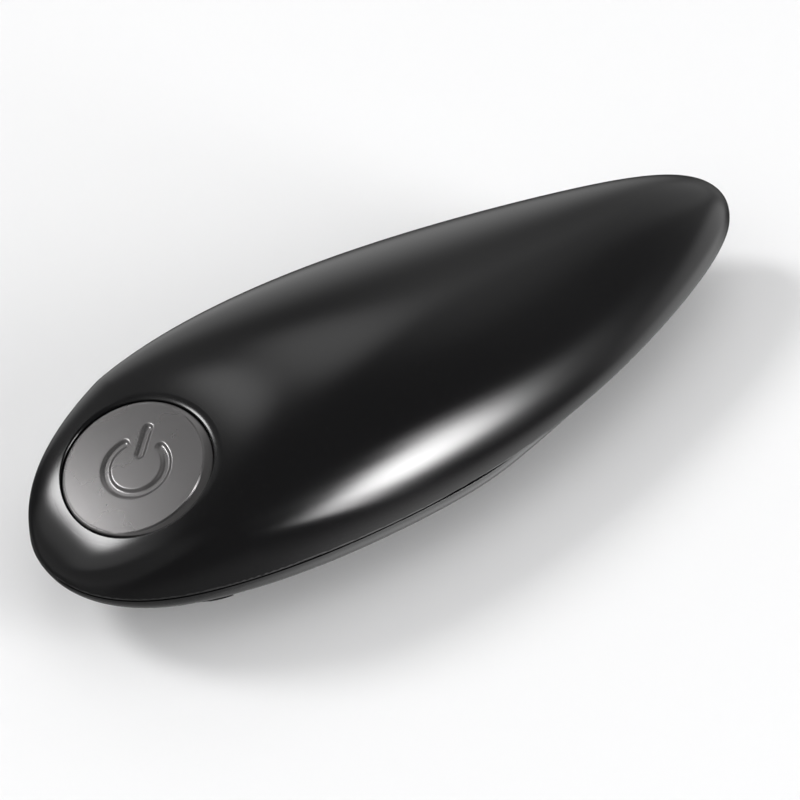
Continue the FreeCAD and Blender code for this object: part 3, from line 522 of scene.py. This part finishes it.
def cutAtSeam(bm):
    # the lower half goes, and one even row stays above the cut
    for level in pod["seamRows"]:
        bmesh.ops.bisect_plane(bm, geom=bm.verts[:] + bm.edges[:] + bm.faces[:], dist=pod["seamSnap"],
                               plane_co=(0, 0, level), plane_no=(0, 0, -1), clear_outer=level == 0)


def placeOnForm(bm):
    near = 1.05 * pod["seamSnap"]   # a little more than the cut's own reach
    for v in bm.verts:
        direction = v.co.normalized()
        for level in pod["seamRows"]:
            if abs(direction.z - level) < near:
                direction.z = level
        v.co = podPoint(direction)


def growRim(bm, edges, place):
    # one more row inside the mouth; place gives its radius and level for each corner
    grown = bmesh.ops.extrude_edge_only(bm, edges=edges)["geom"]
    edges = [g for g in grown if isinstance(g, bmesh.types.BMEdge)]
    for v in {v for e in edges for v in e.verts}:
        local = buttonInverse @ v.co
        turn = turnOf(local)
        radius, level = place(local, turn)
        v.co = buttonPlace @ Vector((radius * math.cos(turn), radius * math.sin(turn), level))
    return edges


def tailBevel(local, turn):
    # a narrow bevel on the tail side of the mouth, dying out into the form
    radius, share = mouthRadius(turn), bevelShare(turn)
    fall = (reachOf(local) - radius) * math.tan(math.radians(startButton["bevelSlope"]))
    return radius, share * (local.z - fall) + (1 - share) * formLevel(radius, turn)


def buttonMouth(bm):
    aboveSeam = pod["partZ"] + 2 * mm
    rim = [e for e in bm.edges if e.is_boundary and min(v.co.z for v in e.verts) > aboveSeam]
    rim = growRim(bm, rim, tailBevel)
    steps = startButton["lipSteps"]
    for i in range(steps):
        before, after = math.pi / 2 * i / steps, math.pi / 2 * (i + 1) / steps
        rim = growRim(bm, rim, lambda local, turn: (
            mouthRadius(turn) - lipRound(turn) * math.sin(after),
            local.z + lipRound(turn) * (math.cos(after) - math.cos(before))))
    for share in startButton["wellRows"]:
        rim = growRim(bm, rim, lambda local, turn: (wellRadius, -share * startButton["wellDepth"]))


def upperShell():
    bm = bmesh.new()
    ringsFromBrim(bm)
    cutAtSeam(bm)
    placeOnForm(bm)
    buttonMouth(bm)
    bmesh.ops.recalc_face_normals(bm, faces=bm.faces)
    shell = makePiece("upperHousing", bm, materials["housing"], "root", "upper_shell",
                      smoothAngle=60)
    wall = shell.modifiers.new("wall", "SOLIDIFY")
    wall.thickness, wall.offset = pod["wall"], -1


upperShell()
print("upper housing made")

buttonCap = {
    "dome": 0.45 * mm, "lift": 0.55 * mm, "skirt": 5.55 * mm, "thick": 2.95 * mm, "wall": 1.4 * mm,
    "bevel": 0.32 * mm, "bevelSlope": 51.0, "bevelTurn": -60.0, "bevelFade": 0.55,
    "bevelHolds": (-0.15, 0.0, 0.12, 0.5, 0.88),   # rings that keep the bevel's edges crisp
    "shoulder": 1.6 * mm, "shoulderSlope": 24.0, "shoulderTurn": -45.0, "shoulderLeast": 0.1,
    "edgeRound": 0.5 * mm, "faceSteps": 84, "shoulderSteps": 4, "edgeSteps": 6, "segments": 288,
}
startMark = {
    "radius": 7.2 * mm, "opening": 38.0, "width": 1.35 * mm, "depth": 0.55 * mm, "floor": 0.35,
    "barInner": 3.2 * mm, "barOuter": 10.4 * mm, "turn": -52.0, "fromEdge": 0.2 * mm,
}
bevelDrop = buttonCap["bevel"] * math.tan(math.radians(buttonCap["bevelSlope"]))
shoulderSlope = math.radians(buttonCap["shoulderSlope"])
shoulderDrop = buttonCap["shoulder"] * math.tan(shoulderSlope)
edgeRoom = buttonCap["edgeRound"] * (1 - math.sin(shoulderSlope))
faceRadius = startButton["radius"] - buttonCap["bevel"] - buttonCap["shoulder"] - edgeRoom


def capProfile():
    # section of the cap from the middle of its face to the middle of its underside
    radius, dome, edge = startButton["radius"], buttonCap["dome"], buttonCap["edgeRound"]
    faceSteps, edgeSteps = buttonCap["faceSteps"], buttonCap["edgeSteps"]
    shoulderSteps = buttonCap["shoulderSteps"]
    profile = [(faceRadius * i / faceSteps, -dome * (i / faceSteps)**2) for i in range(faceSteps)]
    for share in buttonCap["bevelHolds"]:
        profile.append((faceRadius + share * buttonCap["bevel"], -dome - max(0, share) * bevelDrop))
    for i in range(shoulderSteps + 1):
        run = buttonCap["shoulder"] * i / shoulderSteps
        profile.append((faceRadius + buttonCap["bevel"] + run,
                        -dome - bevelDrop - run * math.tan(shoulderSlope)))
    startRadius, startHeight = profile[-1]
    for i in range(1, edgeSteps + 1):
        turn = shoulderSlope + (math.pi / 2 - shoulderSlope) * i / edgeSteps
        profile.append((startRadius + edge * (math.sin(turn) - math.sin(shoulderSlope)),
                        startHeight - edge * (math.cos(shoulderSlope) - math.cos(turn))))
    hollow = radius - buttonCap["wall"]
    return profile + [(radius, -buttonCap["skirt"]), (hollow, -buttonCap["skirt"]),
                      (hollow, -buttonCap["thick"]), (0, -buttonCap["thick"])]


def fadeEdge(v):
    # the bevel and its shoulder face the near side and die out round the rest of the edge
    reach, turn = reachOf(v.co), turnOf(v.co)
    least, shoulder = buttonCap["shoulderLeast"], buttonCap["shoulder"]
    facing = math.cos(turn - math.radians(buttonCap["bevelTurn"]))
    height = smoothStep(facing, 0.0, buttonCap["bevelFade"])
    facing = math.cos(turn - math.radians(buttonCap["shoulderTurn"]))
    width = least + (1 - least) * max(0, facing)
    spread = shoulder * (1 - width)
    if reach <= faceRadius:
        reach *= 1 + spread / faceRadius
    else:
        reach += spread * min(1, max(0, (faceRadius + buttonCap["bevel"] + shoulder - reach) / shoulder))
    drop = max(0, -buttonCap["dome"] - v.co.z)
    ofBevel = min(drop, bevelDrop)
    ofShoulder = min(drop, bevelDrop + shoulderDrop) - ofBevel
    v.co = (reach * math.cos(turn), reach * math.sin(turn),
            v.co.z + ofBevel * (1 - height) + ofShoulder * (1 - width))


def markDistance(x, y):
    # distance to the middle line of a plain start mark: an open ring and a bar through its opening
    turn = math.radians(startMark["turn"])
    across = x * math.cos(turn) + y * math.sin(turn)
    up = -x * math.sin(turn) + y * math.cos(turn)
    opening, radius = math.radians(startMark["opening"]), startMark["radius"]
    if abs(math.atan2(across, up)) > opening:
        ring = abs(math.hypot(across, up) - radius)
    else:
        ring = math.hypot(abs(across) - radius * math.sin(opening), up - radius * math.cos(opening))
    bar = math.hypot(across, up - min(startMark["barOuter"], max(startMark["barInner"], up)))
    return min(ring, bar)


def sinkMark(v):
    away = markDistance(v.co.x, v.co.y)
    width = startMark["width"]
    v.co.z -= startMark["depth"] * (1 - smoothStep(away, startMark["floor"] * width, width))


def buttonPiece():
    bm = lathe(capProfile(), buttonCap["segments"])
    for v in bm.verts:
        if v.co.z > -0.9 * buttonCap["thick"]:    # the outer skin alone
            fadeEdge(v)
        onFace = v.co.z > -1.01 * buttonCap["dome"]
        if onFace and reachOf(v.co) < faceRadius - startMark["fromEdge"]:
            sinkMark(v)
    place = buttonPlace @ Matrix.Translation((0, 0, buttonCap["lift"]))
    bmesh.ops.transform(bm, matrix=place, verts=bm.verts)
    makePiece("startButtonCap", bm, materials["button"], "button", "start_button",
              smoothAngle=50)


buttonPiece()
print("start button made")

returnSpring = {"radius": 7.4 * mm, "wire": 0.8 * mm, "low": -8.95 * mm, "high": -2.45 * mm, "turns": 3,
                "sides": 12, "stepsPerTurn": 48, "travel": 1.8 * mm}


def springPiece():
    # a round wire wound between the board and the button's underside
    wire, turns = returnSpring["wire"], returnSpring["turns"]
    length = returnSpring["high"] - returnSpring["low"]
    steps = returnSpring["stepsPerTurn"] * turns
    place = Matrix.Translation((returnSpring["radius"], 0, returnSpring["low"] + wire / 2))
    bm = bmesh.new()
    bmesh.ops.create_circle(bm, segments=returnSpring["sides"], radius=wire / 2,
                            matrix=place @ Matrix.Rotation(math.pi / 2, 4, "X"))
    bmesh.ops.spin(bm, geom=bm.verts[:] + bm.edges[:], cent=(0, 0, 0), axis=(0, 0, 1),
                   dvec=(0, 0, (length - wire) / steps), angle=math.tau * turns, steps=steps)
    bmesh.ops.holes_fill(bm, edges=[e for e in bm.edges if e.is_boundary])
    bmesh.ops.recalc_face_normals(bm, faces=bm.faces)
    bmesh.ops.transform(bm, matrix=buttonPlace, verts=bm.verts)
    finish = metalFinish("returnSpringFinish", metalLooks["spring_steel"], nodeCentre("button_spring"))
    piece = makePiece("returnSpring", bm, finish, "root", "button_spring",
                      smoothAngle=50)
    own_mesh(piece)


springPiece()
print("return spring made")

camera = {
    "azimuth": -37.4, "elevation": 45.7, "distance": 0.9, "sensor": 36,
    "frame": 800, "focalPixels": 3774, "shiftX": 0.4, "shiftY": -24.6,   # in pixels
}


def towards(azimuth, elevation):
    # unit vector to a place seen from the object; azimuth 0 is -Y and 90 is +X
    turn, rise = math.radians(azimuth), math.radians(elevation)
    return Vector((math.sin(turn) * math.cos(rise), -math.cos(turn) * math.cos(rise), math.sin(rise)))


def studioCamera():
    back = towards(camera["azimuth"], camera["elevation"])
    data = bpy.data.cameras.new("studioCamera")
    data.sensor_width = camera["sensor"]
    data.lens = camera["focalPixels"] / camera["frame"] * camera["sensor"]
    data.shift_x = camera["shiftX"] / camera["frame"]
    data.shift_y = camera["shiftY"] / camera["frame"]
    seen = bpy.data.objects.new("studioCamera", data)
    bpy.context.scene.collection.objects.link(seen)
    seen.location = Vector((0, 0, pod["partZ"])) + back * camera["distance"]
    seen.rotation_mode = "QUATERNION"
    seen.rotation_quaternion = (-back).to_track_quat("-Z", "Y")
    bpy.context.scene.camera = seen


lamps = {
    "topSoft": {"azimuth": 60, "elevation": 82, "away": 1.3, "size": (1.3, 1.3), "radiance": 1.1},
    "frontSoft": {"azimuth": -70, "elevation": 40, "away": 1.6, "size": (1.4, 1.0), "radiance": 0.81},
}


def studioLamps():
    for name, lamp in lamps.items():
        width, height = lamp["size"]
        data = bpy.data.lights.new(name, "AREA")
        data.shape = "RECTANGLE"
        data.size, data.size_y = width, height
        data.energy = lamp["radiance"] * math.pi * width * height
        piece = bpy.data.objects.new(name, data)
        bpy.context.scene.collection.objects.link(piece)
        out = towards(lamp["azimuth"], lamp["elevation"])
        piece.location = out * lamp["away"] + Vector((0, 0, pod["partZ"]))
        piece.rotation_mode = "QUATERNION"
        piece.rotation_quaternion = out.to_track_quat("Z", "Y")
        piece.visible_glossy = False


# what the gloss mirrors: azimuth, elevation, inner and outer angle in degrees, radiance
skyLights = {
    "leftFill": (-86, 8, 48, 62, 0.21),
    "noseFill": (-118, 40, 3, 34, 0.6),
    "crescent": (-144, 43.6, 4, 12, 19.0),
    "rightFill": (60, -46, 12, 36, 1.0),
    "rightSoft": (74, -7, 11, 28, 0.8),
    "lowFill": (46, -82, 20, 48, 0.25),
    "tailFill": (102, 10, 15, 43, 0.36),
    "tailSoft": (118, 26, 15, 27, 0.29),
    "backFill": (162, 0.5, 4, 33, 0.8),
    "backSoft": (141, 44, 1.6, 10, 1.2),
    "backPatch": (158, 51, 0.2, 6.3, 2.2),
    "buttonSoft": (180, 34, 9, 35, 0.22),
}
# one long light on the right, bottom to top, in the same terms
stripLights = [
    (15, -20.8, 0.8, 4.8, 16.5),
    (18, -11.5, 1.5, 5.6, 24.0),
    (21.8, -2.8, 2.3, 6.7, 31.5),
    (26.7, 7, 3.1, 8.2, 32.0),
    (33.6, 17.2, 2.5, 10, 26.0),
    (41.4, 26.5, 1.2, 7.6, 18.5),
    (49, 36, 1.5, 9, 2.7),
]
stripShare = 0.52    # of each one's radiance, once more stand between them
skyBase = 0.082
skyBackdrop = 0.86   # what the camera itself sees


def skyGroup():
    # one soft-edged light of the sky
    group, start, end = newGroup("skyLight", [("Direction", "Vector", None), ("Toward", "Vector", None),
                                              ("Inner", "Float", 1.0), ("Outer", "Float", 0.9),
                                              ("Radiance", "Float", 1.0)], [("Level", "Float")])
    facing = addNode(group, "VectorMath", {0: start.outputs["Direction"], 1: start.outputs["Toward"]},
                     operation="DOT_PRODUCT").outputs["Value"]
    level = addNode(group, "MapRange", {
        "Value": facing, "From Min": start.outputs["Outer"], "From Max": start.outputs["Inner"],
        "To Min": 0.0, "To Max": start.outputs["Radiance"],
    }, interpolation_type="SMOOTHSTEP")
    group.links.new(level.outputs["Result"], end.inputs["Level"])
    return group


def mirroredLights():
    between = []
    for first, second in zip(stripLights, stripLights[1:]):
        between.append([(one + other) / 2 for one, other in zip(first, second)])
    strip = [(*light[:4], stripShare * light[4]) for light in stripLights + between]
    return list(skyLights.values()) + strip


def studioSky():
    world = bpy.data.worlds.new("studioSky")
    bpy.context.scene.world = world
    world.use_nodes = True
    tree = world.node_tree
    tree.nodes.clear()
    direction = addNode(tree, "TexCoord").outputs["Generated"]
    light = skyGroup()
    total = skyBase
    for azimuth, elevation, inner, outer, radiance in mirroredLights():
        node = addNode(tree, "Group", node_tree=light)
        tree.links.new(direction, node.inputs["Direction"])
        node.inputs["Toward"].default_value = towards(azimuth, elevation)
        node.inputs["Inner"].default_value = math.cos(math.radians(inner))
        node.inputs["Outer"].default_value = math.cos(math.radians(outer))
        node.inputs["Radiance"].default_value = radiance
        total = doMath(tree, "ADD", node.outputs["Level"], total)
    seen = addNode(tree, "LightPath").outputs["Is Camera Ray"]
    strength = remap(tree, seen, (0.0, 1.0), (total, skyBackdrop))
    sky = addNode(tree, "Background", {"Strength": strength, "Color": (1, 1, 1, 1)})
    surface = addNode(tree, "OutputWorld")
    tree.links.new(sky.outputs[0], surface.inputs["Surface"])


paper = {"halfSize": 4, "below": 0.02 * mm, "colour": (0.82, 0.82, 0.825, 1)}


def paperFinish():
    # pale from above and clear from below
    material = bpy.data.materials.new("studioPaper")
    material.use_nodes = True
    tree = material.node_tree
    tree.nodes.clear()
    pale = addNode(tree, "BsdfDiffuse", {"Color": paper["colour"]})
    clear = addNode(tree, "BsdfTransparent")
    back = addNode(tree, "NewGeometry").outputs["Backfacing"]
    mixed = addNode(tree, "MixShader", {0: back, 1: pale.outputs[0], 2: clear.outputs[0]})
    surface = addNode(tree, "OutputMaterial")
    tree.links.new(mixed.outputs[0], surface.inputs["Surface"])
    return material


def studioFloor():
    bm = bmesh.new()
    bmesh.ops.create_grid(bm, x_segments=1, y_segments=1, size=paper["halfSize"])
    bmesh.ops.transform(bm, matrix=Matrix.Translation((0, 0, -paper["below"])), verts=bm.verts)
    floor = linkMesh("studioFloor", bm, paperFinish())
    floor.visible_glossy = False


studioCamera()
studioLamps()
studioSky()
studioFloor()
bpy.context.scene.view_settings.view_transform = "Standard"
print("studio made")
